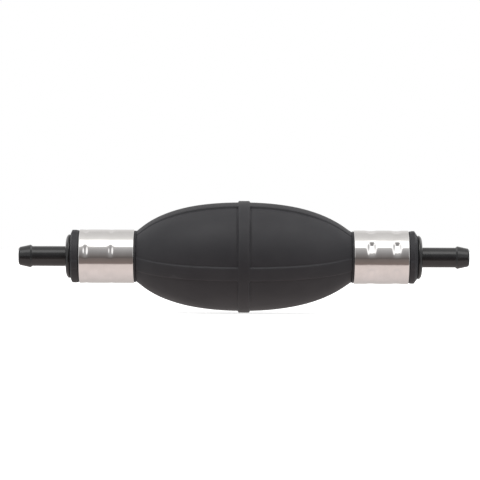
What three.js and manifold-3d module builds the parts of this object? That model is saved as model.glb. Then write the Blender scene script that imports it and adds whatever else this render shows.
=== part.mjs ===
// Siphon bulb pump (fuel primer bulb): a moulded rubber bulb with a crimped hose fitting at each end.
// Each fitting holds a small spring-loaded check valve, so squeezing the bulb moves liquid one way.
//
// Frame, in millimetres: +X runs along the pump in the direction of flow, +Z is up, and the origin is
// the centre of the bulb. The inlet is at -X and the outlet at +X.

import * as THREE from 'three';
import { mergeVertices } from 'three/addons/utils/BufferGeometryUtils.js';
import Module from 'manifold-3d';

const wasm = await Module();
wasm.setup();

// ---------- driving dimensions ----------

const HALF_LENGTH = 90; // bulb centre to barb tip
const SIDES = 24; // flats around a large turned piece
const SMALL_SIDES = 16; // flats around a valve piece

// Bulb: each half of its wall is a superellipse, cut off where the neck starts. The inlet half is fuller.
const BULB_RADIUS = 21.65;
const INLET_DOME = { reach: 46.2, power: 2.25 };
const OUTLET_DOME = { reach: 46.8, power: 2.1 };
const BULB_WALL = 2.75;
const BULB_END = 42.4;
const BULB_STATIONS = 8;

// Moulded grip relief: one band around the middle and four ribs along the bulb, all of one height.
const RELIEF_HEIGHT = 0.7;
const BAND_WIDTH = 4.6;
const RIB_WIDTH = 5.4;
const RIB_ROLL = THREE.MathUtils.degToRad(18.5); // the ribs are turned this much about the X axis

// Neck of the bulb: a thin collar, a plain stretch under the ferrule, and a lip.
const NECK_BORE = 7.5;
const NECK_RADIUS = 9.8;
const COLLAR_RADIUS = 10.5;
const COLLAR_END = 43.6;
const LIP_START = 65.9;
const LIP_END = 69.2;
const LIP_RADIUS = 10.5;
const LIP_BEVEL_LENGTH = 1.0;
const LIP_BEVEL_DEPTH = 1.6;
const LIP_RIB_HEIGHT = 0.25;
const LIP_RIB_WIDTH = 3.6;

// Squeezing walls: an oval patch of the bulb on each side.
const PATCH_HALF_LENGTH = 27;
const PATCH_HALF_HEIGHT = 15;
const PATCH_GAP = 0.25;
const PATCH_SIDES = 28; // flats around the oval
const PATCH_INNER_Y = 5;
const PATCH_OUTER_Y = 30;

// Ferrule: a thin steel sleeve with two crimped grooves.
const FERRULE_START = 43.8;
const FERRULE_END = 65.7;
const FERRULE_RADIUS = 10.7;
const FERRULE_WALL = 0.5;
const CRIMP_PLACES = [51.4, 61.6];
const CRIMP_DEPTH = 0.3;
const CRIMP_FLAT = 1.2;
const CRIMP_RAMP = 0.6;

// Hose fitting: spigot inside the neck, flange against the lip, barb for the hose.
const SPIGOT_START = 43.2;
const SPIGOT_RADIUS = 7.3;
const FLANGE_START = 69.3;
const FLANGE_END = 71;
const FLANGE_RADIUS = 8.7;
const FLANGE_FLAT_RADIUS = 7.2;
const SHANK_RADIUS = 3.98;
const SHANK_END = 84.5;
const BARB_RADIUS = 4.55;
const BARB_START = 85.3;
const NOSE_RADIUS = 3.65;
const BORE_RADIUS = 2.7;
const SOCKET_RADIUS = 5.6; // holds the check valve
const SOCKET_END = 60;

// Retaining ring: an open spring ring in a groove near the mouth of the socket.
const RING_START = 44.35;
const RING_THICKNESS = 0.8;
const RING_OUTER = 6.05;
const RING_INNER = 4.75;
const RING_HALF_GAP = THREE.MathUtils.degToRad(24);
const RING_GROOVE_RADIUS = 6.2;
const RING_PLAY = 0.15;

// Check valve, measured along the flow from its upstream face.
const VALVE_LENGTH = 14.5;
const VALVE_RADIUS = 5.4;
const VALVE_CHAMBER = 4.5;
const VALVE_PORT = 2.8;
const VALVE_FLOOR = 2.6;
const SEAT_TOP = 3.05;
const SEAT_OUTER = 3.4;
const O_RING_PLACE = 1.45;
const O_RING_MEAN = 4.95;
const O_RING_WIRE = 0.53;
const O_RING_GROOVE_RADIUS = 4.35;
const O_RING_GROOVE_WIDTH = 1.3;
const SEAL_START = 3.15;
const SEAL_END = 4.1;
const SEAL_OUTER = 3.8;
const SEAL_HOLE = 1.25;
const BUTTON_START = 2.2;
const BUTTON_RADIUS = 1.9;
const STUD_RADIUS = 1.1;
const HEAD_START = 4.2;
const HEAD_END = 5.4;
const HEAD_RADIUS = 3.9;
const STEM_RADIUS = 0.9;
const STEM_END = 13.5;
const GUIDE_START = 11.2;
const GUIDE_END = 12.8;
const GUIDE_RADIUS = 4.4;
const GUIDE_RIM = 0.8;
const GUIDE_SPOKES = 3;
const SPOKE_WIDTH = 1.2;
const HUB_START = 9.6;
const HUB_END = 13.2;
const HUB_RADIUS = 1.75;
const HUB_BORE = 1.15;
const SPRING_MEAN = 2.25;
const SPRING_WIRE = 0.25;
const SPRING_TURNS = 4.5;
const SPRING_STEPS_PER_TURN = 11;
const SPRING_WIRE_SIDES = 6;

const INLET_VALVE_X = -(SOCKET_END - 0.1);
const OUTLET_VALVE_X = SOCKET_END - 0.1 - VALVE_LENGTH;

// ---------- materials ----------

function material(color, roughness, metalness) {
  return new THREE.MeshStandardMaterial({ color, roughness, metalness });
}

const rubber = () => material(0x1c1c1d, 0.62, 0);
const fittingPlastic = () => material(0x141416, 0.35, 0);
const steel = () => material(0xcfccca, 0.2, 1);
const valvePlastic = () => material(0xe6e2d6, 0.45, 0);
const sealRubber = () => material(0x23211f, 0.55, 0);
const springSteel = () => material(0xb9bcc0, 0.28, 1);

// ---------- solids ----------

function mesh(name, geometry, finish) {
  const piece = new THREE.Mesh(geometry, finish);
  piece.name = name;
  return piece;
}

// Turns a closed outline about the X axis. Each point is [x, radius]; the flats lie at the radius given,
// and one flat faces each of +Z, -Z, +Y and -Y.
function turned(outline, sides) {
  const grow = 1 / Math.cos(Math.PI / sides);
  const points = outline.map(([x, radius]) => new THREE.Vector2(radius * grow, x));
  points.push(points[0].clone());
  const geometry = new THREE.LatheGeometry(points, sides, -Math.PI / sides, 2 * Math.PI);
  return geometry.rotateZ(-Math.PI / 2);
}

function toManifold(geometry) {
  const plain = geometry.clone();
  plain.deleteAttribute('normal');
  plain.deleteAttribute('uv');
  const merged = mergeVertices(plain);
  return new wasm.Manifold(new wasm.Mesh({
    numProp: 3,
    vertProperties: new Float32Array(merged.attributes.position.array),
    triVerts: new Uint32Array(merged.index.array),
  }));
}

function toGeometry(solid) {
  const { vertProperties, triVerts } = solid.getMesh();
  const geometry = new THREE.BufferGeometry();
  geometry.setAttribute('position', new THREE.BufferAttribute(vertProperties, 3));
  geometry.setIndex(new THREE.BufferAttribute(triVerts, 1));
  geometry.computeVertexNormals();
  return geometry;
}

// ---------- bulb ----------

// Points [x, radius] along a superellipse, from the middle outwards to x = end.
function bulbArc(dome, radius, reach, end) {
  const last = Math.acos((end / reach) ** (dome.power / 2));
  return Array.from({ length: BULB_STATIONS + 1 }, (_, i) => {
    const angle = Math.PI / 2 + (last - Math.PI / 2) * (i / BULB_STATIONS);
    return [
      reach * Math.cos(angle) ** (2 / dome.power),
      radius * Math.sin(angle) ** (2 / dome.power),
    ];
  });
}

// The inside of one half of the bulb, from the middle to where it meets the bore of the neck.
function insideArc(dome) {
  const radius = BULB_RADIUS - BULB_WALL;
  const reach = dome.reach - BULB_WALL;
  const end = reach * (1 - (NECK_BORE / radius) ** dome.power) ** (1 / dome.power);
  return bulbArc(dome, radius, reach, end);
}

// Joins an inlet half and an outlet half, each running outwards from the middle, from -X to +X.
function joined(inletHalf, outletHalf) {
  return [...inletHalf.map(([x, radius]) => [-x, radius]).reverse(), ...outletHalf];
}

// The outside of one half of the bulb, with its collar, neck and lip.
function outsideOutline(dome) {
  const bandEdge = BAND_WIDTH / 2;
  const panelStart = bandEdge + RELIEF_HEIGHT;
  const arc = bulbArc(dome, BULB_RADIUS, dome.reach, BULB_END);
  return [
    [bandEdge, BULB_RADIUS + RELIEF_HEIGHT],
    [panelStart, BULB_RADIUS],
    ...arc.filter(([x]) => x > panelStart),
    [BULB_END, COLLAR_RADIUS],
    [COLLAR_END, COLLAR_RADIUS],
    [COLLAR_END, NECK_RADIUS],
    [LIP_START, NECK_RADIUS],
    [LIP_START, LIP_RADIUS],
    [LIP_END - LIP_BEVEL_LENGTH, LIP_RADIUS],
    [LIP_END, LIP_RADIUS - LIP_BEVEL_DEPTH],
    [LIP_END, NECK_BORE],
  ];
}

function bulbBody() {
  const outside = joined(outsideOutline(INLET_DOME), outsideOutline(OUTLET_DOME));
  const inside = joined(insideArc(INLET_DOME), insideArc(OUTLET_DOME));
  return toManifold(turned([...outside, ...inside.reverse()], SIDES));
}

// Keeps a turned piece only within two crossed slabs, which leaves four ribs.
function crossed(outline, width) {
  const slab = (turn) => {
    const box = new THREE.BoxGeometry(2 * HALF_LENGTH, 4 * BULB_RADIUS, width);
    return toManifold(box.rotateX(RIB_ROLL + turn));
  };
  return toManifold(turned(outline, SIDES)).intersect(slab(0).add(slab(Math.PI / 2)));
}

// The bulb's outline, grown outwards by this much.
function grownArc(dome, growth) {
  return bulbArc(dome, BULB_RADIUS + growth, dome.reach + growth, BULB_END - 0.2);
}

function bulbRibs() {
  const crest = joined(grownArc(INLET_DOME, RELIEF_HEIGHT), grownArc(OUTLET_DOME, RELIEF_HEIGHT));
  const core = joined(grownArc(INLET_DOME, -BULB_WALL / 2), grownArc(OUTLET_DOME, -BULB_WALL / 2));
  return crossed([...crest, ...core.reverse()], RIB_WIDTH);
}

// The same four ribs, lower and narrower, on the lip at one end; side is -1 for the inlet end.
function lipRibs(side) {
  const outer = LIP_RADIUS + LIP_RIB_HEIGHT;
  const inner = (NECK_BORE + LIP_RADIUS) / 2;
  const inside = side * (LIP_START + 0.1);
  const outside = side * (LIP_END - LIP_BEVEL_LENGTH);
  const [from, to] = side < 0 ? [outside, inside] : [inside, outside];
  return crossed([[from, outer], [to, outer], [to, inner], [from, inner]], LIP_RIB_WIDTH);
}

// An oval prism across one side of the bulb; side is -1 for the front and 1 for the rear.
function patchPrism(side, margin) {
  const oval = new THREE.Shape();
  oval.absellipse(0, 0, PATCH_HALF_LENGTH + margin, PATCH_HALF_HEIGHT + margin, 0, 2 * Math.PI);
  const depth = PATCH_OUTER_Y - PATCH_INNER_Y;
  const prism = new THREE.ExtrudeGeometry(oval, { depth, curveSegments: PATCH_SIDES / 2, bevelEnabled: false });
  prism.rotateX(Math.PI / 2);
  prism.translate(0, side < 0 ? -PATCH_INNER_Y : PATCH_OUTER_Y, 0);
  return toManifold(prism);
}

function bulb() {
  const whole = bulbBody().add(bulbRibs()).add(lipRibs(-1)).add(lipRibs(1));
  const shell = whole.subtract(patchPrism(-1, PATCH_GAP)).subtract(patchPrism(1, PATCH_GAP));
  const group = new THREE.Group();
  group.add(mesh('bulb_shell', toGeometry(shell), rubber()));
  group.add(mesh('bulb_front_wall', toGeometry(whole.intersect(patchPrism(-1, 0))), rubber()));
  group.add(mesh('bulb_rear_wall', toGeometry(whole.intersect(patchPrism(1, 0))), rubber()));
  return group;
}

// ---------- ends ----------

// The two crimped grooves in one face of the ferrule, from the bulb outwards.
function crimps(radius) {
  return CRIMP_PLACES.flatMap((place) => [
    [place - CRIMP_FLAT / 2 - CRIMP_RAMP, radius],
    [place - CRIMP_FLAT / 2, radius - CRIMP_DEPTH],
    [place + CRIMP_FLAT / 2, radius - CRIMP_DEPTH],
    [place + CRIMP_FLAT / 2 + CRIMP_RAMP, radius],
  ]);
}

function ferrule() {
  const inner = FERRULE_RADIUS - FERRULE_WALL;
  const edge = 0.25;
  return turned([
    [FERRULE_START, FERRULE_RADIUS - edge],
    [FERRULE_START + edge, FERRULE_RADIUS],
    ...crimps(FERRULE_RADIUS),
    [FERRULE_END - edge, FERRULE_RADIUS],
    [FERRULE_END, FERRULE_RADIUS - edge],
    [FERRULE_END, inner],
    ...crimps(inner).reverse(),
    [FERRULE_START, inner],
  ], SIDES);
}

function hoseFitting() {
  const grooveStart = RING_START - RING_PLAY;
  const grooveEnd = RING_START + RING_THICKNESS + RING_PLAY;
  return turned([
    [SPIGOT_START, SPIGOT_RADIUS - 0.3],
    [SPIGOT_START + 0.3, SPIGOT_RADIUS],
    [FLANGE_START, SPIGOT_RADIUS],
    [FLANGE_START, FLANGE_RADIUS],
    [FLANGE_START + 0.7, FLANGE_RADIUS],
    [FLANGE_END - 0.35, FLANGE_RADIUS - 0.6],
    [FLANGE_END, FLANGE_FLAT_RADIUS],
    [FLANGE_END, SHANK_RADIUS],
    [SHANK_END, SHANK_RADIUS],
    [BARB_START, BARB_RADIUS],
    [HALF_LENGTH - 0.6, NOSE_RADIUS],
    [HALF_LENGTH, NOSE_RADIUS - 0.45],
    [HALF_LENGTH, BORE_RADIUS],
    [SOCKET_END, BORE_RADIUS],
    [SOCKET_END, SOCKET_RADIUS],
    [grooveEnd, SOCKET_RADIUS],
    [grooveEnd, RING_GROOVE_RADIUS],
    [grooveStart, RING_GROOVE_RADIUS],
    [grooveStart, SOCKET_RADIUS],
    [SPIGOT_START, SOCKET_RADIUS],
  ], SIDES);
}

function retainingRing() {
  const arc = new THREE.Shape();
  arc.absarc(0, 0, RING_OUTER, RING_HALF_GAP, 2 * Math.PI - RING_HALF_GAP, false);
  arc.absarc(0, 0, RING_INNER, 2 * Math.PI - RING_HALF_GAP, RING_HALF_GAP, true);
  const ring = new THREE.ExtrudeGeometry(arc, {
    depth: RING_THICKNESS,
    curveSegments: SMALL_SIDES / 2,
    bevelEnabled: false,
  });
  ring.rotateY(Math.PI / 2);
  return ring.translate(RING_START, 0, 0);
}

// One end of the pump, built pointing along +X.
function pumpEnd(name) {
  const group = new THREE.Group();
  group.add(mesh(`${name}_hose_fitting`, hoseFitting(), fittingPlastic()));
  group.add(mesh(`${name}_ferrule`, ferrule(), steel()));
  group.add(mesh(`${name}_retaining_ring`, retainingRing(), springSteel()));
  return group;
}

// ---------- check valve ----------

function valveBody() {
  const grooveStart = O_RING_PLACE - O_RING_GROOVE_WIDTH / 2;
  const grooveEnd = O_RING_PLACE + O_RING_GROOVE_WIDTH / 2;
  return turned([
    [0, VALVE_RADIUS],
    [grooveStart, VALVE_RADIUS],
    [grooveStart, O_RING_GROOVE_RADIUS],
    [grooveEnd, O_RING_GROOVE_RADIUS],
    [grooveEnd, VALVE_RADIUS],
    [VALVE_LENGTH, VALVE_RADIUS],
    [VALVE_LENGTH, VALVE_CHAMBER],
    [VALVE_FLOOR, VALVE_CHAMBER],
    [VALVE_FLOOR, SEAT_OUTER],
    [SEAT_TOP, SEAT_OUTER],
    [SEAT_TOP, VALVE_PORT],
    [0, VALVE_PORT],
  ], SMALL_SIDES);
}

function oRing() {
  const sides = 8;
  const outline = Array.from({ length: sides }, (_, i) => {
    const angle = Math.PI - (2 * Math.PI * i) / sides;
    return [O_RING_PLACE + O_RING_WIRE * Math.cos(angle), O_RING_MEAN + O_RING_WIRE * Math.sin(angle)];
  });
  return turned(outline, SMALL_SIDES);
}

function poppet() {
  return turned([
    [BUTTON_START, 0],
    [BUTTON_START, BUTTON_RADIUS - 0.3],
    [BUTTON_START + 0.3, BUTTON_RADIUS],
    [SEAT_TOP, BUTTON_RADIUS],
    [SEAT_TOP, STUD_RADIUS],
    [HEAD_START, STUD_RADIUS],
    [HEAD_START, HEAD_RADIUS - 0.3],
    [HEAD_START + 0.3, HEAD_RADIUS],
    [HEAD_END, HEAD_RADIUS],
    [HEAD_END, STEM_RADIUS],
    [STEM_END - 0.3, STEM_RADIUS],
    [STEM_END, STEM_RADIUS - 0.3],
    [STEM_END, 0],
  ], SMALL_SIDES);
}

function poppetSeal() {
  return turned([
    [SEAL_START, SEAL_HOLE],
    [SEAL_START, SEAL_OUTER - 0.2],
    [SEAL_START + 0.2, SEAL_OUTER],
    [SEAL_END, SEAL_OUTER],
    [SEAL_END, SEAL_HOLE],
  ], SMALL_SIDES);
}

// The centre line of the spring wire, wound about the X axis from the poppet to the guide.
class SpringLine extends THREE.Curve {
  getPoint(t, target = new THREE.Vector3()) {
    const start = HEAD_END + SPRING_WIRE + 0.05;
    const end = GUIDE_START - SPRING_WIRE - 0.05;
    const angle = 2 * Math.PI * SPRING_TURNS * t;
    return target.set(start + (end - start) * t, SPRING_MEAN * Math.cos(angle), SPRING_MEAN * Math.sin(angle));
  }
}

function valveSpring() {
  const section = new THREE.Shape();
  section.absarc(0, 0, SPRING_WIRE, 0, 2 * Math.PI);
  return new THREE.ExtrudeGeometry(section, {
    extrudePath: new SpringLine(),
    steps: Math.round(SPRING_TURNS * SPRING_STEPS_PER_TURN),
    curveSegments: SPRING_WIRE_SIDES / 2,
  });
}

// A rim and a hub joined by spokes; the stem slides in the hub, and the spring rests on the spokes.
function springGuide() {
  const rim = toManifold(turned([
    [GUIDE_START, GUIDE_RADIUS],
    [GUIDE_END, GUIDE_RADIUS],
    [GUIDE_END, GUIDE_RADIUS - GUIDE_RIM],
    [GUIDE_START, GUIDE_RADIUS - GUIDE_RIM],
  ], SMALL_SIDES));
  const hub = toManifold(turned([
    [HUB_START, HUB_RADIUS],
    [HUB_END, HUB_RADIUS],
    [HUB_END, HUB_BORE],
    [HUB_START, HUB_BORE],
  ], SMALL_SIDES));
  let guide = rim.add(hub);
  const spokeInner = (HUB_BORE + HUB_RADIUS) / 2;
  const spokeOuter = GUIDE_RADIUS - GUIDE_RIM / 2;
  for (let i = 0; i < GUIDE_SPOKES; i += 1) {
    const spoke = new THREE.BoxGeometry(GUIDE_END - GUIDE_START - 0.2, SPOKE_WIDTH, spokeOuter - spokeInner);
    spoke.translate((GUIDE_START + GUIDE_END) / 2, 0, (spokeInner + spokeOuter) / 2);
    spoke.rotateX((2 * Math.PI * i) / GUIDE_SPOKES);
    guide = guide.add(toManifold(spoke));
  }
  return toGeometry(guide);
}

function checkValve(name, x) {
  const group = new THREE.Group();
  group.position.x = x;
  group.add(mesh(`${name}_valve_body`, valveBody(), valvePlastic()));
  group.add(mesh(`${name}_valve_o_ring`, oRing(), sealRubber()));
  group.add(mesh(`${name}_poppet`, poppet(), valvePlastic()));
  group.add(mesh(`${name}_poppet_seal`, poppetSeal(), sealRubber()));
  group.add(mesh(`${name}_valve_spring`, valveSpring(), springSteel()));
  group.add(mesh(`${name}_spring_guide`, springGuide(), valvePlastic()));
  return group;
}

// ---------- assembly ----------

const inletEnd = pumpEnd('inlet');
inletEnd.rotation.z = Math.PI;

const pump = new THREE.Group();
pump.add(bulb());
pump.add(inletEnd);
pump.add(pumpEnd('outlet'));
pump.add(checkValve('inlet', INLET_VALVE_X));
pump.add(checkValve('outlet', OUTLET_VALVE_X));

export default pump;
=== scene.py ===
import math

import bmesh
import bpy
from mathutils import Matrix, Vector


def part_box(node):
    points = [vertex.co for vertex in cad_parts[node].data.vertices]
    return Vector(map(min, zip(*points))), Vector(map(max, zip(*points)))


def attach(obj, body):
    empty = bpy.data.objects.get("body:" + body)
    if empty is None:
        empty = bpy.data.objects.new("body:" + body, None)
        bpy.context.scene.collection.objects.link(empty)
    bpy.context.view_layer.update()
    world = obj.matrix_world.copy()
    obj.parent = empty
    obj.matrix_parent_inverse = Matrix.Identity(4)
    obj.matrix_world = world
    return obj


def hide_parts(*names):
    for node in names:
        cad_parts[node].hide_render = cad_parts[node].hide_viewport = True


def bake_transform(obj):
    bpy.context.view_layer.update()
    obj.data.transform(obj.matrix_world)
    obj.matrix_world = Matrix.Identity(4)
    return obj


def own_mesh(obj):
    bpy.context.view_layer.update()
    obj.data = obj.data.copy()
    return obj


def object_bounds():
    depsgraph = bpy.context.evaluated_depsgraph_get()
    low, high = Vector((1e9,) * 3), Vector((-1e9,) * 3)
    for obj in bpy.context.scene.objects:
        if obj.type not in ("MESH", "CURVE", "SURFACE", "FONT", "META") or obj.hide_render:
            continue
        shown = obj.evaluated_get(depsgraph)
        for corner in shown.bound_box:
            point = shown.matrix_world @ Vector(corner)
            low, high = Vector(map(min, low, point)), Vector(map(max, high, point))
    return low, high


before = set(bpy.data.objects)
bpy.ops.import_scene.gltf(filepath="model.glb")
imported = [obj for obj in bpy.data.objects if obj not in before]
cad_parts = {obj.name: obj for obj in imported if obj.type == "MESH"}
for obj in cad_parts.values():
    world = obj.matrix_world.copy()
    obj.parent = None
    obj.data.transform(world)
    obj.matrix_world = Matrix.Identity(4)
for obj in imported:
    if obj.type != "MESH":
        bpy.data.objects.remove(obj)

# The looks of a siphon bulb pump: a moulded rubber bulb, two crimped steel ferrules, two plastic hose
# fittings, and a spring-loaded check valve inside each fitting. Lengths are in millimetres, and are
# turned into metres as each mesh is made; the floor, the light and the camera are placed in metres.
# +X is the direction of flow, and -Y faces the camera.

MM = 0.001
CAD_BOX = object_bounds()


def cad_range(node):
    """Where a CAD node starts and ends along X, in millimetres, as distances from the bulb's centre."""
    low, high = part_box(node)
    return sorted((abs(low.x) / MM, abs(high.x) / MM))


# ---------- sizes ----------

# Bulb
BAND_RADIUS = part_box("bulb_shell")[1].z / MM
BAND_HEIGHT = 0.7
RIB_HEIGHT = 0.55
BULB_RADIUS = BAND_RADIUS - BAND_HEIGHT
INLET_DOME = {"reach": 46.2, "power": 2.25}
OUTLET_DOME = {"reach": 46.8, "power": 2.1}
BULB_WALL = 2.75
DOME_END = 42.9
DOME_FILLET = {"radius": 9.3, "power": 10}
BAND_WIDTH = 4.6
RIB_WIDTH = 5.4
RIB_ROLL = math.radians(18.5)
RIB_FADE_START = 20.0
RIB_END_HEIGHT = 0.22
RELIEF_EDGE = 0.6
RELIEF_EDGE_STEPS = 6
PANEL_ROWS = 34

# The groove at the foot of the band and ribs. It fades out where the cosine of the angle from the top
# drops from CREASE_FADE to -CREASE_FADE.
CREASE_DEPTH = 0.18
CREASE_WIDTH = 0.24
CREASE_PLACE = 0.5
CREASE_FADE = 0.35
CREASE_STEPS = (-0.5, 0, 0.5, 1, 1.6, 2.6)

# The two halves of the bulb: the ribs as angles from the top, and the mesh steps before, between and
# after them. SEAM is half the width of the strip at the joint, and FAR is a distance from any rib.
FRONT_HALF = {"side": -1, "ribs": (RIB_ROLL, RIB_ROLL + math.pi / 2), "gaps": (6, 18, 18)}
REAR_HALF = {"side": 1, "ribs": (math.pi / 2 - RIB_ROLL, math.pi - RIB_ROLL), "gaps": (18, 18, 6)}
SEAM = math.radians(0.25)
FAR = 100.0

# Neck, collar and lip. Each bevel is given by its length along X and its depth. The lip's ribs rise over
# its start, fade over its bevelled end, and show only above the radius LIP_RIB_FLOOR.
FERRULE_START, FERRULE_END = cad_range("outlet_ferrule")
LIP_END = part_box("bulb_shell")[1].x / MM
LIP_START = FERRULE_END + 0.2
LIP_RADIUS = 10.5
LIP_RIB_WIDTH = 3.6
LIP_RIB_HEIGHT = 0.25
LIP_RIB_RISE = 0.4
LIP_RIB_FADE = 0.9
INLET_BEVEL = (0.7, 1.35)
OUTLET_BEVEL = (1.3, 1.75)
COLLAR_START = DOME_END + 0.02
COLLAR_END = FERRULE_START - 0.1
COLLAR_RADIUS = 10.3
NECK_RADIUS = 9.8
LIP_RIB_FLOOR = NECK_RADIUS - 0.8
NECK_BORE = 7.5
NECK_ROWS = 36
NECK_SIDES = 192

# Ferrules
FERRULE_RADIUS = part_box("outlet_ferrule")[1].z / MM
FERRULE_WALL = 0.42
FERRULE_EDGE = 0.36
FERRULE_MARGIN = 0.7
FERRULE_ROWS = 96
FERRULE_INNER_ROWS = 40
FERRULE_EDGE_ROWS = 6
FERRULE_SIDES = 240

# How each ferrule is crimped. "dents" gives the place along X and the depth of each row, "width" is half a
# row's width along X, and a higher "squareness" gives it a flatter floor and steeper sides. The tool has
# JAWS jaws, with one of them at the angle "turn", and "reach" is how far round its dent goes below and
# above that angle. Between the jaws it leaves a groove with GROOVE_SHARE of the depth. "lopsided" is the
# share of the depth that is lost on the far side.
JAWS = 6
GROOVE_SHARE = 0.22
INLET_CRIMP = {
    "dents": ((52.9, 0.38), (63.0, 0.42)),
    "width": 0.92,
    "squareness": 2,
    "turn": math.radians(13),
    "reach": (math.radians(19), math.radians(19)),
    "lopsided": 0.0,
}
OUTLET_CRIMP = {
    "dents": ((50.7, 0.9), (60.8, 0.86)),
    "width": 1.5,
    "squareness": 2.8,
    "turn": math.radians(26),
    "reach": (math.radians(29), math.radians(13)),
    "lopsided": 0.9,
}

# Hose fitting
FITTING_START, TIP = cad_range("outlet_hose_fitting")
FLANGE_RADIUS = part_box("outlet_hose_fitting")[1].z / MM
FLANGE_START = LIP_END + 0.1
FLANGE_END = 71.0
SPIGOT_RADIUS = 7.3
SHANK_RADIUS = 3.98
BARB_RADIUS = 4.55
SHANK_END = 84.5
BORE_RADIUS = 2.7
SOCKET_RADIUS = 5.6
SOCKET_END = 60.0

# Retaining ring, and the groove in the fitting that holds it
RING_OUTER = 6.05
RING_INNER = 4.75
RING_HALF_GAP = math.radians(24)
GROOVE_START = 44.2
GROOVE_END = 45.3
GROOVE_RADIUS = 6.2

# Check valve, measured along the flow from the upstream face of its body
VALVE_LENGTH = 14.5
VALVE_RADIUS = 5.4
VALVE_BORE = 4.5
PORT_RADIUS = 2.8
CHAMBER_START = 2.6
SEAT_END = 3.05
O_RING_GROOVE_START, O_RING_GROOVE_END = 0.8, 2.1
O_RING_GROOVE_RADIUS = 4.35
O_RING_PLACE = 1.45
O_RING_RADIUS = 4.95
O_RING_WIRE = 0.53

# Poppet and its seal
NOSE_START, NOSE_END = 2.2, 3.05
NOSE_RADIUS = 1.9
WAIST_RADIUS = 1.1
HEAD_START, HEAD_END = 4.2, 5.4
HEAD_RADIUS = 3.9
STEM_RADIUS = 0.9
STEM_END = 13.5
SEAL_START, SEAL_END = 3.15, 4.1
SEAL_RADIUS = 3.8
SEAL_BORE = 1.25

# Spring and its guide
GUIDE_START, GUIDE_END = 11.2, 12.8
GUIDE_OUTER, GUIDE_INNER = 4.4, 3.6
HUB_START, HUB_END = 9.6, 13.2
HUB_OUTER, HUB_INNER = 1.75, 1.15
SPOKE_CENTRE = (12.0, 0, 2.72)
SPOKE_SIZE = (1.4, 1.2, 2.5)
SPOKES = 3
SPRING_RADIUS = 2.25
SPRING_WIRE = 0.25
SPRING_TURNS = 6
SPRING_STEPS = 36

# Floor, light and camera, in metres; the power is in watts
FLOOR_RADIUS = 6
FLOOR_DROP = 0.0002
FLOOR_GLOW = 0.75
SOFTBOX_SIZE = (1.2, 0.45)
SOFTBOX_PLACE = (0, -0.55, 0.9)
SOFTBOX_POWER = 0.2
CAMERA_DISTANCE = 1.08
CAMERA_ROLL = math.radians(0.23)
PICTURE_WIDTH = 0.192
PICTURE_CENTRE = (-0.0016, 0.00673)


# ---------- mesh helpers ----------

# Vertices closer than this many metres are merged, and edges sharper than this many degrees stay sharp
MERGE_DISTANCE = 1e-7
SHARP_ANGLE = 38

# A fillet takes at most ROOM_SHARE of the shorter edge, and its support points stand off by SUPPORT_SHARE
# of its reach. Fillets and supports smaller than the two lengths below are left out.
ROOM_SHARE = 0.45
SUPPORT_SHARE = 0.25
LEAST_REACH = 1e-4
LEAST_SUPPORT = 1e-3


def smooth(t):
    """0 below 0, 1 above 1, and a smooth step between."""
    t = min(max(t, 0.0), 1.0)
    return t * t * (3 - 2 * t)


def steps_between(start, end, count):
    """Places spread evenly from start to end, both included."""
    return [start + (end - start) * k / count for k in range(count + 1)]


def around(x, radius, angle):
    """A point on a circle about the X axis, at an angle from -Y upwards."""
    return (x, -radius * math.cos(angle), radius * math.sin(angle))


def make_object(name, vertices, faces, sharp_angle=SHARP_ANGLE):
    """A mesh object from vertices in millimetres, with outward faces and smooth shading."""
    mesh = bpy.data.meshes.new(name)
    mesh.from_pydata([(x * MM, y * MM, z * MM) for x, y, z in vertices], [], faces)
    built = bmesh.new()
    built.from_mesh(mesh)
    bmesh.ops.remove_doubles(built, verts=built.verts, dist=MERGE_DISTANCE)
    loose = [edge for edge in built.edges if not edge.link_faces]
    bmesh.ops.delete(built, geom=loose, context="EDGES")
    bmesh.ops.recalc_face_normals(built, faces=built.faces)
    built.to_mesh(mesh)
    built.free()
    mesh.shade_smooth()
    mesh.set_sharp_from_angle(angle=math.radians(sharp_angle))
    obj = bpy.data.objects.new(name, mesh)
    bpy.context.scene.collection.objects.link(obj)
    return obj


def grid_faces(rows, columns, wrap_rows=False, wrap_columns=False, start=0):
    """Quads over a grid of vertices stored row by row."""
    faces = []
    for i in range(rows if wrap_rows else rows - 1):
        for j in range(columns if wrap_columns else columns - 1):
            a = start + i * columns + j
            b = start + i * columns + (j + 1) % columns
            c = start + ((i + 1) % rows) * columns + (j + 1) % columns
            d = start + ((i + 1) % rows) * columns + j
            faces.append((a, b, c, d))
    return faces


def rounded(corners, steps=4):
    """A closed outline of (x, radius) points from corners (x, radius, fillet), with support points."""
    points = []
    count = len(corners)
    for i, (x, r, fillet) in enumerate(corners):
        here = Vector((x, r))
        before = Vector(corners[i - 1][:2]) - here
        after = Vector(corners[(i + 1) % count][:2]) - here
        room = ROOM_SHARE * min(before.length, after.length)
        before.normalize()
        after.normalize()
        half = before.angle(after) / 2
        reach = min(fillet / math.tan(half), room) if fillet else 0
        if reach < LEAST_REACH:
            points.append((x, r))
            continue
        radius = reach * math.tan(half)
        centre = here + (before + after).normalized() * (radius / math.sin(half))
        first = here + before * reach - centre
        turn = first.angle_signed(here + after * reach - centre)
        support = min(reach * SUPPORT_SHARE, room - reach)
        if support > LEAST_SUPPORT:
            points.append(tuple(here + before * (reach + support)))
        for k in range(steps + 1):
            points.append(tuple(centre + Matrix.Rotation(-turn * k / steps, 2) @ first))
        if support > LEAST_SUPPORT:
            points.append(tuple(here + after * (reach + support)))
    return points


def turned(name, corners, x0=0.0, side=1, sides=96, steps=4):
    """A closed outline turned about the X axis. Distances grow outwards from x0 on the given side."""
    outline = rounded(corners, steps)
    vertices = []
    for x, r in outline:
        for j in range(sides):
            angle = 2 * math.pi * j / sides
            vertices.append((x0 + side * x, r * math.sin(angle), r * math.cos(angle)))
    return make_object(name, vertices, grid_faces(len(outline), sides, True, True))


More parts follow.
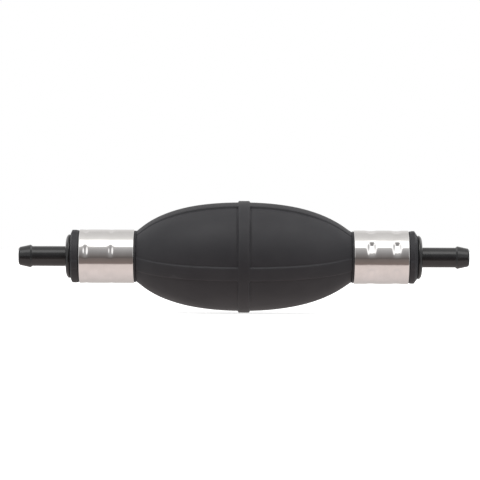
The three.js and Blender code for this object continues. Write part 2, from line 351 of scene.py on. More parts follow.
def swept(name, line, wire, sides=12):
    """A round wire of radius wire along a list of points, with closed ends."""
    vertices = []
    up = Vector((1, 0, 0))
    for i, point in enumerate(line):
        ahead = line[min(i + 1, len(line) - 1)] - line[max(i - 1, 0)]
        across = ahead.cross(up).normalized()
        over = across.cross(ahead).normalized()
        for j in range(sides):
            angle = 2 * math.pi * j / sides
            vertices.append(tuple(point + wire * (math.cos(angle) * across + math.sin(angle) * over)))
    faces = grid_faces(len(line), sides, False, True)
    faces.append(tuple(range(sides)))
    faces.append(tuple(range((len(line) - 1) * sides, len(line) * sides)))
    return make_object(name, vertices, faces, sharp_angle=60)


# ---------- materials ----------

class Finish:
    """A material on a Principled shader, built from a few kinds of node."""

    def __init__(self, name, **fixed):
        self.material = bpy.data.materials.new(name)
        self.material.use_nodes = True
        self.tree = self.material.node_tree
        self.shader = self.tree.nodes["Principled BSDF"]
        self.place = self.node("ShaderNodeTexCoord").outputs["Object"]
        for socket, value in fixed.items():
            self.shader.inputs[socket.replace("_", " ")].default_value = value

    def node(self, kind, settings=None, **inputs):
        made = self.tree.nodes.new(kind)
        for key, value in (settings or {}).items():
            setattr(made, key, value)
        for key, value in inputs.items():
            self.feed(made.inputs[key.replace("_", " ")], value)
        return made

    def feed(self, socket, value):
        if isinstance(value, bpy.types.NodeSocket):
            self.tree.links.new(value, socket)
        else:
            socket.default_value = value

    def stretched(self, scale):
        """Object coordinates in millimetres, stretched by a scale on each axis."""
        mapping = self.node("ShaderNodeMapping", Vector=self.place)
        mapping.inputs["Scale"].default_value = [s / MM for s in scale]
        return mapping.outputs["Vector"]

    def noise(self, scale, detail, roughness, stretch=(1, 1, 1)):
        """Noise with about this many bumps per millimetre."""
        made = self.node(
            "ShaderNodeTexNoise",
            Vector=self.stretched(stretch),
            Scale=scale,
            Detail=detail,
            Roughness=roughness,
        )
        return made.outputs["Fac"]

    def spread(self, value, low, high, to_low=0.0, to_high=1.0):
        """Maps low..high to to_low..to_high, clamped."""
        made = self.node("ShaderNodeMapRange", Value=value)
        limits = {"From Min": low, "From Max": high, "To Min": to_low, "To Max": to_high}
        for socket, number in limits.items():
            made.inputs[socket].default_value = number
        return made.outputs["Result"]

    def math(self, operation, a, b):
        made = self.node("ShaderNodeMath", {"operation": operation})
        self.feed(made.inputs[0], a)
        self.feed(made.inputs[1], b)
        return made.outputs[0]

    def mix(self, factor, a, b):
        made = self.node("ShaderNodeMix", {"data_type": "RGBA"})
        self.feed(made.inputs["Factor"], factor)
        self.feed(made.inputs[6], (*a, 1.0) if isinstance(a, tuple) else a)
        self.feed(made.inputs[7], (*b, 1.0) if isinstance(b, tuple) else b)
        return made.outputs[2]

    def bump(self, height, distance, strength, under=None):
        """A bump of this height in millimetres, on top of another bump if one is given."""
        made = self.node("ShaderNodeBump", Height=height, Strength=strength)
        made.inputs["Distance"].default_value = distance * MM
        if under is not None:
            self.tree.links.new(under, made.inputs["Normal"])
        return made.outputs["Normal"]

    def edges(self):
        """1 on convex edges, 0 on flat and concave places."""
        return self.spread(self.node("ShaderNodeNewGeometry").outputs["Pointiness"], 0.5, 0.56)

    def done(self, color=None, roughness=None, normal=None):
        for socket, value in (("Base Color", color), ("Roughness", roughness), ("Normal", normal)):
            if value is not None:
                self.tree.links.new(value, self.shader.inputs[socket])
        return self.material


# Colours, as linear red, green and blue
RUBBER_DARK = (0.0265, 0.0262, 0.0305)
RUBBER_LIGHT = (0.0335, 0.033, 0.0375)
# Lighter colour for the rubber's convex edges: partly edge wear, partly a painted highlight
RUBBER_WORN_AND_HIGHLIT_EDGE = (0.07, 0.07, 0.075)
NYLON_DARK = (0.011, 0.0113, 0.0125)
NYLON_LIGHT = (0.0165, 0.0167, 0.018)
# Lighter colour for the nylon's convex edges: partly edge wear, partly a painted highlight
NYLON_WORN_AND_HIGHLIT_EDGE = (0.05, 0.049, 0.049)
STEEL_CLEAN = (0.79, 0.775, 0.765)
STEEL_SMUDGED = (0.73, 0.715, 0.705)
ACETAL_LIGHT = (0.78, 0.755, 0.67)
ACETAL_DARK = (0.7, 0.665, 0.575)
NITRILE_DARK = (0.014, 0.0135, 0.0125)
NITRILE_BLOOM = (0.034, 0.033, 0.031)
WIRE_PLAIN = (0.62, 0.61, 0.6)
WIRE_STRAW = (0.54, 0.5, 0.44)
FLOOR_DARK = (0.7, 0.7, 0.7)
FLOOR_LIGHT = (0.72, 0.72, 0.72)


def bulb_rubber():
    """Matte black moulded rubber: a fine grain, faint mottling, and convex edges painted lighter, partly
    as wear and partly as a painted highlight.
    """
    finish = Finish("bulb_rubber", Specular_IOR_Level=0.38)
    grain = finish.noise(2.6, detail=6.0, roughness=0.7)
    mottle = finish.noise(0.09, detail=3.0, roughness=0.5)
    flow = finish.noise(0.12, detail=3.0, roughness=0.5, stretch=(0.35, 1, 1))
    base = finish.mix(finish.spread(mottle, 0.3, 0.7), RUBBER_DARK, RUBBER_LIGHT)
    # Convex edges are painted lighter: partly edge wear, partly a painted highlight
    base = finish.mix(finish.math("MULTIPLY", finish.edges(), 0.3), base, RUBBER_WORN_AND_HIGHLIT_EDGE)
    patchy = finish.math("ADD", finish.math("MULTIPLY", grain, 0.35), flow)
    rough = finish.spread(patchy, 0.5, 0.95, to_low=0.5, to_high=0.62)
    normal = finish.bump(grain, distance=0.03, strength=0.45)
    normal = finish.bump(flow, distance=0.25, strength=0.25, under=normal)
    return finish.done(base, rough, normal)


def fitting_plastic():
    """Glossy black nylon with a soft moulded waviness, faint scuffs, and convex edges painted lighter,
    partly as wear and partly as a painted highlight.
    """
    finish = Finish("fitting_plastic", Specular_IOR_Level=0.62)
    wave = finish.noise(0.3, detail=2.0, roughness=0.4)
    fine = finish.noise(7.0, detail=4.0, roughness=0.6)
    scuff = finish.noise(1.1, detail=5.0, roughness=0.6, stretch=(0.3, 1, 1))
    base = finish.mix(finish.spread(wave, 0.35, 0.65), NYLON_DARK, NYLON_LIGHT)
    # Convex edges are painted lighter: partly edge wear, partly a painted highlight
    base = finish.mix(finish.math("MULTIPLY", finish.edges(), 0.15), base, NYLON_WORN_AND_HIGHLIT_EDGE)
    rough = finish.spread(scuff, 0.3, 0.75, to_low=0.16, to_high=0.24)
    normal = finish.bump(fine, distance=0.0015, strength=0.15)
    normal = finish.bump(wave, distance=0.05, strength=0.3, under=normal)
    return finish.done(base, rough, normal)


def ferrule_steel():
    """Bright rolled steel: fine lines along the sleeve, a gentle ripple and faint handling smudges."""
    finish = Finish("ferrule_steel", Metallic=1.0)
    lines = finish.noise(3.0, detail=4.0, roughness=0.6, stretch=(0.06, 1.6, 1.6))
    ripple = finish.noise(0.16, detail=2.0, roughness=0.45, stretch=(0.7, 1, 1))
    smudge = finish.noise(0.22, detail=3.0, roughness=0.5)
    base = finish.mix(finish.spread(smudge, 0.3, 0.75), STEEL_CLEAN, STEEL_SMUDGED)
    rough = finish.spread(smudge, 0.3, 0.75, to_low=0.07, to_high=0.12)
    normal = finish.bump(lines, distance=0.002, strength=0.3)
    normal = finish.bump(ripple, distance=0.16, strength=0.3, under=normal)
    return finish.done(base, rough, normal)


def valve_plastic():
    """Off-white acetal, slightly waxy, with tooling marks."""
    finish = Finish("valve_plastic", Specular_IOR_Level=0.5)
    tooling = finish.noise(6.0, detail=3.0, roughness=0.6, stretch=(2.0, 0.25, 0.25))
    cloud = finish.noise(0.6, detail=3.0, roughness=0.5)
    base = finish.mix(finish.spread(cloud, 0.3, 0.7), ACETAL_LIGHT, ACETAL_DARK)
    rough = finish.spread(cloud, 0.3, 0.7, to_low=0.34, to_high=0.46)
    return finish.done(base, rough, finish.bump(tooling, distance=0.006, strength=0.4))


def seal_rubber():
    """Black nitrile with a fine bloom."""
    finish = Finish("seal_rubber", Specular_IOR_Level=0.5)
    bloom = finish.noise(2.2, detail=5.0, roughness=0.65)
    base = finish.mix(finish.spread(bloom, 0.35, 0.7), NITRILE_DARK, NITRILE_BLOOM)
    rough = finish.spread(bloom, 0.3, 0.7, to_low=0.38, to_high=0.58)
    return finish.done(base, rough, finish.bump(bloom, distance=0.01, strength=0.4))


def spring_steel():
    """Drawn spring wire with fine marks and a slight straw tint."""
    finish = Finish("spring_steel", Metallic=1.0)
    marks = finish.noise(9.0, detail=4.0, roughness=0.6)
    tint = finish.noise(0.8, detail=2.0, roughness=0.5)
    base = finish.mix(finish.spread(tint, 0.35, 0.65), WIRE_PLAIN, WIRE_STRAW)
    rough = finish.spread(marks, 0.3, 0.7, to_low=0.2, to_high=0.38)
    return finish.done(base, rough, finish.bump(marks, distance=0.004, strength=0.5))


MATERIALS = {
    "bulb_rubber": bulb_rubber(),
    "fitting_plastic": fitting_plastic(),
    "ferrule_steel": ferrule_steel(),
    "valve_plastic": valve_plastic(),
    "seal_rubber": seal_rubber(),
    "spring_steel": spring_steel(),
}


def finished(obj, slot, *nodes):
    """Gives a piece the material named by slot, and hides the CAD nodes that it stands for."""
    obj.data.materials.append(MATERIALS[slot])
    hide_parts(*nodes)
    return obj


# ---------- bulb ----------

def dome_of(x):
    return INLET_DOME if x < 0 else OUTLET_DOME


def outer_radius(x):
    """The dome is a superellipse that ends in a small fillet where it meets the neck."""
    dome = dome_of(x)
    share = max(1 - (abs(x) / dome["reach"]) ** dome["power"], 0)
    radius = BULB_RADIUS * share ** (1 / dome["power"])
    power = DOME_FILLET["power"]
    return (radius**power + DOME_FILLET["radius"] ** power) ** (1 / power)


def inner_radius(x):
    dome = dome_of(x)
    share = 1 - (abs(x) / (dome["reach"] - BULB_WALL)) ** dome["power"]
    return max((BULB_RADIUS - BULB_WALL) * max(share, 0) ** (1 / dome["power"]), NECK_BORE)


def relief(distance, half_width):
    """1 on a raised strip, falling to 0 over its rounded edge."""
    return 1 - smooth((abs(distance) - half_width) / RELIEF_EDGE + 0.5)


def crease(distance, half_width):
    """A fine groove along the foot of a raised strip."""
    across = (abs(distance) - half_width - CREASE_PLACE) / CREASE_WIDTH
    return CREASE_DEPTH * math.exp(-across * across)


def rib_height(x):
    fade = smooth((abs(x) - RIB_FADE_START) / (DOME_END - RIB_FADE_START))
    return RIB_HEIGHT + (RIB_END_HEIGHT - RIB_HEIGHT) * fade


def relief_height(x, from_rib, angle):
    """Height above the plain dome. The angle is from the top, and the creases fade below the middle."""
    band = relief(x, BAND_WIDTH / 2)
    rib = relief(from_rib, RIB_WIDTH / 2)
    height = band * BAND_HEIGHT + (1 - band) * rib * rib_height(x)
    creases = crease(x, BAND_WIDTH / 2) * (1 - rib)
    creases += crease(from_rib, RIB_WIDTH / 2) * (1 - band)
    return height - creases * smooth((math.cos(angle) + CREASE_FADE) / (2 * CREASE_FADE))


def edge_offsets(half_width):
    """Distances from the middle of a raised strip, close together over its edge and crease."""
    top = [half_width * share for share in (0, 0.4, 0.7)]
    edge = [
        half_width + RELIEF_EDGE * (k / RELIEF_EDGE_STEPS - 0.5)
        for k in range(RELIEF_EDGE_STEPS + 1)
    ]
    foot = [half_width + CREASE_PLACE + CREASE_WIDTH * step for step in CREASE_STEPS]
    return top + edge + foot


def dome_rows():
    """Places along X for the rows of the bulb's surface."""
    strip = edge_offsets(BAND_WIDTH / 2)
    first = strip[-1]
    panel = []
    for k in range(1, PANEL_ROWS + 1):
        turn = math.pi / 2 * k / PANEL_ROWS
        panel.append(first + (DOME_END - first) * math.sin(turn))
    half = strip + panel
    return [-x for x in reversed(half)] + half[1:]


def gap_columns(start, end, steps):
    """Columns across the plain surface between two places, from the first one up to the second."""
    return [(place, FAR) for place in steps_between(start, end, steps)[:-1]]


def dome_columns(radius, half):
    """The angle of each column, from top to bottom, and its distance from the nearest rib's middle."""
    strip = edge_offsets(RIB_WIDTH / 2)
    room = (RIB_ROLL - 2 * SEAM) * radius
    squeeze = min(1, room / strip[-1])
    offsets = [-squeeze * d for d in reversed(strip)] + [squeeze * d for d in strip[1:]]
    columns = [(0.0, FAR)]
    last = SEAM
    for rib, steps in zip(half["ribs"], half["gaps"]):
        columns += gap_columns(last, rib + offsets[0] / radius, steps)
        columns += [(rib + d / radius, d) for d in offsets[:-1]]
        last = rib + offsets[-1] / radius
    columns += gap_columns(last, math.pi - SEAM, half["gaps"][-1])
    columns += [(math.pi - SEAM, FAR), (math.pi, FAR)]
    return columns


def bulb_half(name, half):
    """One half of the bulb, in front of or behind the X-Z plane, as a closed shell of even wall."""
    rows = dome_rows()
    outer, inner = [], []
    for x in rows:
        radius = outer_radius(x)
        inside = inner_radius(x)
        columns = dome_columns(radius, half)
        for angle, distance in columns:
            r = radius + relief_height(x, distance, angle)
            outer.append((x, half["side"] * r * math.sin(angle), r * math.cos(angle)))
            inner.append((x, half["side"] * inside * math.sin(angle), inside * math.cos(angle)))
    width = len(columns)
    count = len(outer)
    faces = grid_faces(len(rows), width)
    faces += grid_faces(len(rows), width, start=count)
    for i in range(len(rows) - 1):
        for j in (0, width - 1):
            a, b = i * width + j, (i + 1) * width + j
            faces.append((a, b, b + count, a + count))
    for j in range(width - 1):
        for i in (0, len(rows) - 1):
            a, b = i * width + j, i * width + j + 1
            faces.append((a, b, b + count, a + count))
    return make_object(name, outer + inner, faces)


def dent(x, angle, crimp):
    """How far the jaws of the crimping tool pressed in at this place; the angle is from -Y upwards."""
    spacing = 2 * math.pi / JAWS
    off_jaw = (angle - crimp["turn"] + spacing / 2) % spacing - spacing / 2
    below, above = crimp["reach"]
    reach = above if off_jaw > 0 else below
    pressed = math.cos(math.pi / 2 * min(abs(off_jaw) / reach, 1)) ** 2
    pressed = GROOVE_SHARE + (1 - GROOVE_SHARE) * pressed
    pressed *= 1 - crimp["lopsided"] * (1 - math.cos(angle - crimp["turn"])) / 2
    power = crimp["squareness"]
    across = sum(
        depth * math.exp(-(abs((x - place) / crimp["width"]) ** power))
        for place, depth in crimp["dents"]
    )
    return pressed * across


def neck(name, side, crimp, bevel):
    """Collar, neck and lip at one end of the bulb; the neck is pressed in with its ferrule."""
    bevel_length, bevel_depth = bevel
    outline = rounded([
        (COLLAR_START, NECK_BORE, 0),
        (COLLAR_START, COLLAR_RADIUS - 0.5, 0.1),
        (DOME_END + 0.2, COLLAR_RADIUS, 0.2),
        (COLLAR_END, COLLAR_RADIUS, 0.15),
        (COLLAR_END, NECK_RADIUS, 0.1),
        *[(x, NECK_RADIUS, 0) for x in steps_between(COLLAR_END + 0.5, LIP_START - 0.5, NECK_ROWS)],
        (LIP_START, NECK_RADIUS, 0.1),
        (LIP_START, LIP_RADIUS - 0.15, 0.15),
        (LIP_START + 0.9, LIP_RADIUS, 0.5),
        (LIP_END - bevel_length, LIP_RADIUS, 0.35),
        (LIP_END, LIP_RADIUS - bevel_depth, 0.35),
        (LIP_END, NECK_BORE, 0.2),
    ])
    vertices = []
    for x, r in outline:
        on_lip = smooth((x - LIP_START) / LIP_RIB_RISE) * smooth((LIP_END + 0.1 - x) / LIP_RIB_FADE)
        for j in range(NECK_SIDES):
            angle = 2 * math.pi * j / NECK_SIDES
            from_rib = (angle + RIB_ROLL + math.pi / 4) % (math.pi / 2) - math.pi / 4
            radius = r
            if on_lip > 0 and r > LIP_RIB_FLOOR:
                radius += on_lip * LIP_RIB_HEIGHT * relief(from_rib * r, LIP_RIB_WIDTH / 2)
            elif abs(r - NECK_RADIUS) < 0.01:
                radius -= dent(x, angle, crimp)
            vertices.append(around(side * x, radius, angle))
    return make_object(name, vertices, grid_faces(len(outline), NECK_SIDES, True, True))


# ---------- ferrules ----------

def edge_steps(end, direction):
    """Places over a ferrule's rounded edge, in order along X and closer together towards its end."""
    steps = []
    for k in range(FERRULE_EDGE_ROWS + 1):
        turn = math.pi / 2 * k / FERRULE_EDGE_ROWS
        steps.append(end + direction * FERRULE_EDGE * (1 - math.cos(turn)))
    return steps if direction > 0 else steps[::-1]


def ferrule(name, side, crimp):
    """A thin steel sleeve with rolled edges and rows of pressed dents."""
    rings = []
    middle = steps_between(FERRULE_START + FERRULE_MARGIN, FERRULE_END - FERRULE_MARGIN, FERRULE_ROWS)
    for x in edge_steps(FERRULE_START, 1) + middle + edge_steps(FERRULE_END, -1):
        inset = max(FERRULE_START + FERRULE_EDGE - x, x - FERRULE_END + FERRULE_EDGE, 0) / FERRULE_EDGE
        drop = FERRULE_EDGE * (1 - math.sqrt(max(1 - inset * inset, 0)))
        rings.append((x, FERRULE_RADIUS - drop))
    inside = steps_between(FERRULE_END, FERRULE_START, FERRULE_INNER_ROWS)
    rings += [(x, FERRULE_RADIUS - FERRULE_WALL) for x in inside]
    vertices = []
    for x, radius in rings:
        for j in range(FERRULE_SIDES):
            angle = 2 * math.pi * j / FERRULE_SIDES
            vertices.append(around(side * x, radius - dent(x, angle, crimp), angle))
    return make_object(name, vertices, grid_faces(len(rings), FERRULE_SIDES, True, True))


# ---------- hose fittings and retaining rings ----------

def hose_fitting(name, side):
    """Barb, shank, flange and socketed spigot, moulded in one piece."""
    return turned(name, [
        (FITTING_START, SPIGOT_RADIUS - 0.3, 0.15),
        (FITTING_START + 0.3, SPIGOT_RADIUS, 0.15),
        (FLANGE_START, SPIGOT_RADIUS, 0.05),
        (FLANGE_START, FLANGE_RADIUS - 0.25, 0.1),
        (FLANGE_START + 0.25, FLANGE_RADIUS, 0.2),
        (FLANGE_START + 0.75, FLANGE_RADIUS, 0.35),
        (FLANGE_END - 0.3, FLANGE_RADIUS - 0.7, 0.5),
        (FLANGE_END, FLANGE_RADIUS - 1.6, 0.4),
        (FLANGE_END, SHANK_RADIUS + 0.02, 0.35),
        (SHANK_END, SHANK_RADIUS, 0.25),
        (SHANK_END + 0.75, BARB_RADIUS, 0.12),
        (TIP - 0.55, BARB_RADIUS - 0.9, 0.35),
        (TIP, BARB_RADIUS - 1.4, 0.35),
        (TIP, BORE_RADIUS, 0.12),
        (SOCKET_END, BORE_RADIUS, 0.15),
        (SOCKET_END, SOCKET_RADIUS, 0.15),
        (GROOVE_END, SOCKET_RADIUS, 0.05),
        (GROOVE_END, GROOVE_RADIUS, 0.08),
        (GROOVE_START, GROOVE_RADIUS, 0.08),
        (GROOVE_START, SOCKET_RADIUS, 0.05),
        (FITTING_START, SOCKET_RADIUS, 0.12),
    ], side=side)


def retaining_ring(name, node):
    """An open ring of spring steel with rounded edges; its gap faces down."""
    low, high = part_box(node)
    start, end = low.x / MM, high.x / MM
    section = rounded([
        (start, RING_OUTER, 0.15),
        (end, RING_OUTER, 0.15),
        (end, RING_INNER, 0.15),
        (start, RING_INNER, 0.15),
    ], 3)
    steps = 72
    vertices = []
    for angle in steps_between(RING_HALF_GAP, 2 * math.pi - RING_HALF_GAP, steps):
        for x, r in section:
            vertices.append((x, r * math.sin(angle), -r * math.cos(angle)))
    width = len(section)
    faces = grid_faces(steps + 1, width, False, True)
    faces.append(tuple(range(width)))
    faces.append(tuple(range(steps * width, (steps + 1) * width)))
    return make_object(name, vertices, faces)


# ---------- check valves ----------

def valve_body(name, x0):
    """A turned cartridge: a groove for the O-ring, a raised seat, and a chamber for the poppet."""
    return turned(name, [
        (0, VALVE_RADIUS, 0.25),
        (O_RING_GROOVE_START, VALVE_RADIUS, 0.08),
        (O_RING_GROOVE_START, O_RING_GROOVE_RADIUS, 0.1),
        (O_RING_GROOVE_END, O_RING_GROOVE_RADIUS, 0.1),
        (O_RING_GROOVE_END, VALVE_RADIUS, 0.08),
        (VALVE_LENGTH, VALVE_RADIUS, 0.25),
        (VALVE_LENGTH, VALVE_BORE, 0.12),
        (CHAMBER_START, VALVE_BORE, 0.2),
        (CHAMBER_START, PORT_RADIUS + 0.6, 0.1),
        (SEAT_END, PORT_RADIUS + 0.5, 0.12),
        (SEAT_END, PORT_RADIUS, 0.12),
        (0, PORT_RADIUS, 0.35),
    ], x0)


def o_ring(name, x0):
    steps = 16
    corners = []
    for k in range(steps):
        turn = math.pi - 2 * math.pi * k / steps
        x = O_RING_PLACE + O_RING_WIRE * math.cos(turn)
        corners.append((x, O_RING_RADIUS + O_RING_WIRE * math.sin(turn), 0))
    return turned(name, corners, x0)


def poppet(name, x0):
    """A turned poppet: a nose and waist that hold the seal, a flat head, and a stem for the spring."""
    return turned(name, [
        (NOSE_START, 0, 0),
        (NOSE_START, NOSE_RADIUS - 0.3, 0.15),
        (NOSE_START + 0.3, NOSE_RADIUS, 0.2),
        (NOSE_END, NOSE_RADIUS, 0.12),
        (NOSE_END, WAIST_RADIUS, 0.05),
        (HEAD_START, WAIST_RADIUS, 0.05),
        (HEAD_START, HEAD_RADIUS, 0.3),
        (HEAD_END, HEAD_RADIUS, 0.3),
        (HEAD_END, STEM_RADIUS, 0.25),
        (STEM_END, STEM_RADIUS, 0.3),
        (STEM_END, 0, 0),
    ], x0, sides=64)


def poppet_seal(name, x0):
    return turned(name, [
        (SEAL_START, SEAL_BORE, 0.08),
        (SEAL_START, SEAL_RADIUS, 0.22),
        (SEAL_END, SEAL_RADIUS, 0.22),
        (SEAL_END, SEAL_BORE, 0.08),
    ], x0, sides=64)


def spring_guide(name, x0):
    """Rim, hub and three rounded spokes, joined into one piece."""
    rim = turned(name + "_rim", [
        (GUIDE_START, GUIDE_OUTER, 0.15),
        (GUIDE_END, GUIDE_OUTER, 0.15),
        (GUIDE_END, GUIDE_INNER, 0.15),
        (GUIDE_START, GUIDE_INNER, 0.15),
    ], x0, sides=64)
    hub = turned(name + "_hub", [
        (HUB_START, HUB_OUTER, 0.2),
        (HUB_END, HUB_OUTER, 0.15),
        (HUB_END, HUB_INNER, 0.1),
        (HUB_START, HUB_INNER, 0.1),
    ], x0, sides=48)
    x, y, z = SPOKE_CENTRE
    for k in range(SPOKES):
        turn = 2 * math.pi * k / SPOKES
        join(rim, block(name + "_spoke", (x0 + x, y, z), SPOKE_SIZE, 0.2, turn))
    join(rim, hub)
    rim.name = name
    rim.data.name = name
    rim.data.set_sharp_from_angle(angle=math.radians(SHARP_ANGLE))
    return rim


def block(name, centre, size, bevel, turn):
    """A box with rounded edges, turned about the X axis."""
    built = bmesh.new()
    bmesh.ops.create_cube(built, size=1)
    for vertex in built.verts:
        vertex.co = Vector(vertex.co[i] * size[i] for i in range(3))
    bmesh.ops.bevel(built, geom=built.edges[:], offset=bevel, segments=3, profile=0.5, affect="EDGES")
    for vertex in built.verts:
        vertex.co = Matrix.Rotation(turn, 3, "X") @ (vertex.co + Vector(centre))
        vertex.co *= MM
    mesh = bpy.data.meshes.new(name)
    built.to_mesh(mesh)
    built.free()
    mesh.shade_smooth()
    obj = bpy.data.objects.new(name, mesh)
    bpy.context.scene.collection.objects.link(obj)
    return obj


def join(obj, other):
    """Adds another closed mesh to obj with an exact union, and removes the other object."""
    union = obj.modifiers.new("union", "BOOLEAN")
    union.operation = "UNION"
    union.solver = "EXACT"
    union.object = other
    evaluated = obj.evaluated_get(bpy.context.evaluated_depsgraph_get())
    joined = bpy.data.meshes.new_from_object(evaluated)
    obj.modifiers.clear()
    old = obj.data
    obj.data = joined
    bpy.data.meshes.remove(old)
    bpy.data.objects.remove(other)


def valve_spring(name, x0):
    """A compression spring with a closed turn at each end."""
    start = HEAD_END + SPRING_WIRE + 0.05
    end = GUIDE_START - SPRING_WIRE - 0.05
    closed = 2.1 * SPRING_WIRE
    pitch = (end - start - 2 * closed) / (SPRING_TURNS - 2)
    line = []
    for k in range(SPRING_TURNS * SPRING_STEPS + 1):
        turn = k / SPRING_STEPS
        x = start + closed * min(turn, 1) + pitch * min(max(turn - 1, 0), SPRING_TURNS - 2)
        x += closed * max(turn - SPRING_TURNS + 1, 0)
        angle = 2 * math.pi * turn
        line.append(Vector((x0 + x, SPRING_RADIUS * math.cos(angle), SPRING_RADIUS * math.sin(angle))))
    return swept(name, line, SPRING_WIRE)


# ---------- assembly ----------

def build_bulb():
    halves = (
        ("bulb_front", FRONT_HALF, "front_wall", "bulb_front_wall"),
        ("bulb_rear", REAR_HALF, "rear_wall", "bulb_rear_wall"),
    )
    for name, half, body, node in halves:
        piece = finished(bulb_half(name, half), "bulb_rubber", node, "bulb_shell")
        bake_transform(piece)
    necks = (
        ("bulb_inlet_neck", -1, INLET_CRIMP, INLET_BEVEL),
        ("bulb_outlet_neck", 1, OUTLET_CRIMP, OUTLET_BEVEL),
    )
    for name, side, crimp, bevel in necks:
        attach(finished(neck(name, side, crimp, bevel), "bulb_rubber", "bulb_shell"), "root")


def build_end(name, side, crimp):
    node = name + "_hose_fitting"
    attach(finished(hose_fitting(name + "_fitting", side), "fitting_plastic", node), "root")
    node = name + "_ferrule"
    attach(finished(ferrule(name + "_crimped_ferrule", side, crimp), "ferrule_steel", node), "root")
    node = name + "_retaining_ring"
    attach(finished(retaining_ring(name + "_snap_ring", node), "spring_steel", node), "root")


def build_valve(name):
    x0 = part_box(name + "_valve_body")[0].x / MM
    pieces = (
        (valve_body, "_cartridge", "_valve_body", "valve_plastic", "root"),
        (o_ring, "_cartridge_o_ring", "_valve_o_ring", "seal_rubber", "root"),
        (spring_guide, "_guide", "_spring_guide", "valve_plastic", "root"),
        (poppet, "_valve_poppet", "_poppet", "valve_plastic", name + "_poppet_body"),
        (poppet_seal, "_valve_seal", "_poppet_seal", "seal_rubber", name + "_poppet_body"),
    )
    for make, ending, node, slot, body in pieces:
        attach(finished(make(name + ending, x0), slot, name + node), body)
    spring = finished(valve_spring(name + "_spring", x0), "spring_steel", name + "_valve_spring")
    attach(spring, "root")
    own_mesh(spring)


build_bulb()
build_end("inlet", -1, INLET_CRIMP)
build_end("outlet", 1, OUTLET_CRIMP)
build_valve("inlet")
build_valve("outlet")


# ---------- floor, light and camera ----------

def build_floor():
    """A pale floor that glows a little, so that it stays white around a faint shadow."""
    bpy.ops.mesh.primitive_circle_add(vertices=128, radius=FLOOR_RADIUS, fill_type="NGON")
    floor = bpy.context.object
    floor.name = "floor"
    floor.location.z = CAD_BOX[0].z - FLOOR_DROP
    finish = Finish("floor", Roughness=0.9, Specular_IOR_Level=0.2, Emission_Strength=FLOOR_GLOW)
    finish.shader.inputs["Emission Color"].default_value = (1, 1, 1, 1)
    grain = finish.noise(0.02, detail=3.0, roughness=0.5)
    finish.done(finish.mix(grain, FLOOR_DARK, FLOOR_LIGHT))
    floor.data.materials.append(finish.material)
    floor.visible_glossy = False
    floor.visible_diffuse = False


# Light around the object's axis: the angle from -Y upwards in degrees, and the light from there
STUDIO = (
    (-180, (0.70, 0.68, 0.67)),
    (-140, (0.66, 0.61, 0.59)),
    (-100, (0.80, 0.72, 0.70)),
    (-65, (0.88, 0.78, 0.75)),
    (-36, (0.84, 0.74, 0.71)),
    (-31, (0.25, 0.20, 0.185)),
    (-10, (0.20, 0.17, 0.16)),
    (-4, (0.14, 0.125, 0.12)),
    (3, (0.21, 0.195, 0.19)),
    (14, (0.29, 0.28, 0.28)),
    (30, (0.46, 0.455, 0.455)),
    (40, (0.62, 0.615, 0.61)),
    (46, (2.1, 2.1, 2.08)),
    (68, (2.1, 2.08, 2.05)),
    (80, (0.98, 0.97, 0.95)),
    (98, (0.80, 0.79, 0.78)),
    (125, (0.72, 0.71, 0.70)),
    (150, (0.84, 0.83, 0.82)),
    (180, (0.70, 0.68, 0.67)),
)

# Light towards the object's ends, by how far a direction leans along X. The side light fades in from
# just below the horizon to just above it; the end light is the same all round.
SIDE_LIGHT = 1.35
SIDE_START, SIDE_END = 0.42, 0.58
SIDE_BELOW, SIDE_ABOVE = -0.08, 0.12
END_LIGHT = 0.6
END_START, END_END = 0.7, 0.84


class WorldTree:
    """The node tree of the scene's world."""

    def __init__(self, world):
        world.use_nodes = True
        self.tree = world.node_tree
        self.tree.nodes.clear()

    def node(self, kind, settings=None, **inputs):
        made = self.tree.nodes.new(kind)
        for key, value in (settings or {}).items():
            setattr(made, key, value)
        for key, value in inputs.items():
            self.tree.links.new(value, made.inputs[key])
        return made

    def math(self, operation, a, b=None):
        made = self.node("ShaderNodeMath", {"operation": operation})
        for socket, value in zip(made.inputs, (a, b)):
            if isinstance(value, bpy.types.NodeSocket):
                self.tree.links.new(value, socket)
            elif value is not None:
                socket.default_value = value
        return made.outputs[0]

    def mix(self, factor, a, b):
        made = self.node("ShaderNodeMix", {"data_type": "RGBA"}, Factor=factor)
        for socket, value in ((made.inputs[6], a), (made.inputs[7], b)):
            if isinstance(value, bpy.types.NodeSocket):
                self.tree.links.new(value, socket)
            else:
                socket.default_value = (value, value, value, 1)
        return made.outputs[2]

    def step(self, value, low, high):
        made = self.node("ShaderNodeMapRange", {"interpolation_type": "SMOOTHSTEP"}, Value=value)
        made.inputs["From Min"].default_value = low
        made.inputs["From Max"].default_value = high
        return made.outputs["Result"]


def studio_ring(tree, y, z):
    """The light that STUDIO gives for a direction, by its angle around the object's axis."""
    angle = tree.math("ARCTAN2", z, tree.math("MULTIPLY", y, -1.0))
    share = tree.math("ADD", tree.math("DIVIDE", angle, 2 * math.pi), 0.5)
    ring = tree.node("ShaderNodeValToRGB", Fac=share)
    stops = ring.color_ramp.elements
    while len(stops) < len(STUDIO):
        stops.new(0.5)
    for stop, (degrees, _) in zip(stops, STUDIO):
        stop.position = degrees / 360 + 0.5
    for stop, (_, colour) in zip(stops, STUDIO):
        stop.color = (*colour, 1)
    return ring.outputs["Color"]


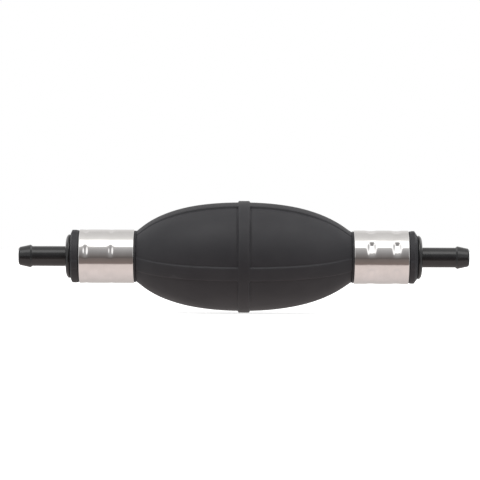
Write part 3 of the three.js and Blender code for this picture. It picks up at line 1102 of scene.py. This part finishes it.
def build_world():
    """A pale studio: bright above and at the sides, dim around the camera, and white as a backdrop."""
    world = bpy.data.worlds.new("studio")
    bpy.context.scene.world = world
    tree = WorldTree(world)
    direction = tree.node("ShaderNodeTexCoord").outputs["Generated"]
    x, y, z = tree.node("ShaderNodeSeparateXYZ", Vector=direction).outputs

    lean = tree.math("ABSOLUTE", x)
    raised = tree.step(z, SIDE_BELOW, SIDE_ABOVE)
    side = tree.math("MULTIPLY", tree.step(lean, SIDE_START, SIDE_END), raised)
    light = tree.mix(side, studio_ring(tree, y, z), SIDE_LIGHT)
    light = tree.mix(tree.step(lean, END_START, END_END), light, END_LIGHT)

    studio = tree.node("ShaderNodeBackground", Color=light)
    backdrop = tree.node("ShaderNodeBackground")
    backdrop.inputs["Color"].default_value = (1, 1, 1, 1)
    pick = tree.node("ShaderNodeMixShader")
    seen = tree.node("ShaderNodeLightPath").outputs["Is Camera Ray"]
    for socket, source in zip(pick.inputs, (seen, studio.outputs[0], backdrop.outputs[0])):
        tree.tree.links.new(source, socket)
    tree.node("ShaderNodeOutputWorld", Surface=pick.outputs[0])


def build_light():
    """A soft light above the object, on the camera's side."""
    data = bpy.data.lights.new("softbox", "AREA")
    data.shape = "RECTANGLE"
    data.size, data.size_y = SOFTBOX_SIZE
    data.energy = SOFTBOX_POWER
    light = bpy.data.objects.new("softbox", data)
    light.location = SOFTBOX_PLACE
    light.rotation_euler = (-light.location).to_track_quat("-Z", "Y").to_euler()
    light.visible_camera = False
    bpy.context.scene.collection.objects.link(light)


def build_camera():
    data = bpy.data.cameras.new("camera")
    data.sensor_width = 36
    data.lens = data.sensor_width * CAMERA_DISTANCE / PICTURE_WIDTH
    data.clip_start = 0.05
    camera = bpy.data.objects.new("camera", data)
    camera.location = (PICTURE_CENTRE[0], -CAMERA_DISTANCE, PICTURE_CENTRE[1])
    camera.rotation_euler = (math.pi / 2, -CAMERA_ROLL, 0)
    bpy.context.scene.collection.objects.link(camera)
    bpy.context.scene.camera = camera


build_floor()
build_world()
build_light()
build_camera()
bpy.context.scene.view_settings.view_transform = "Standard"
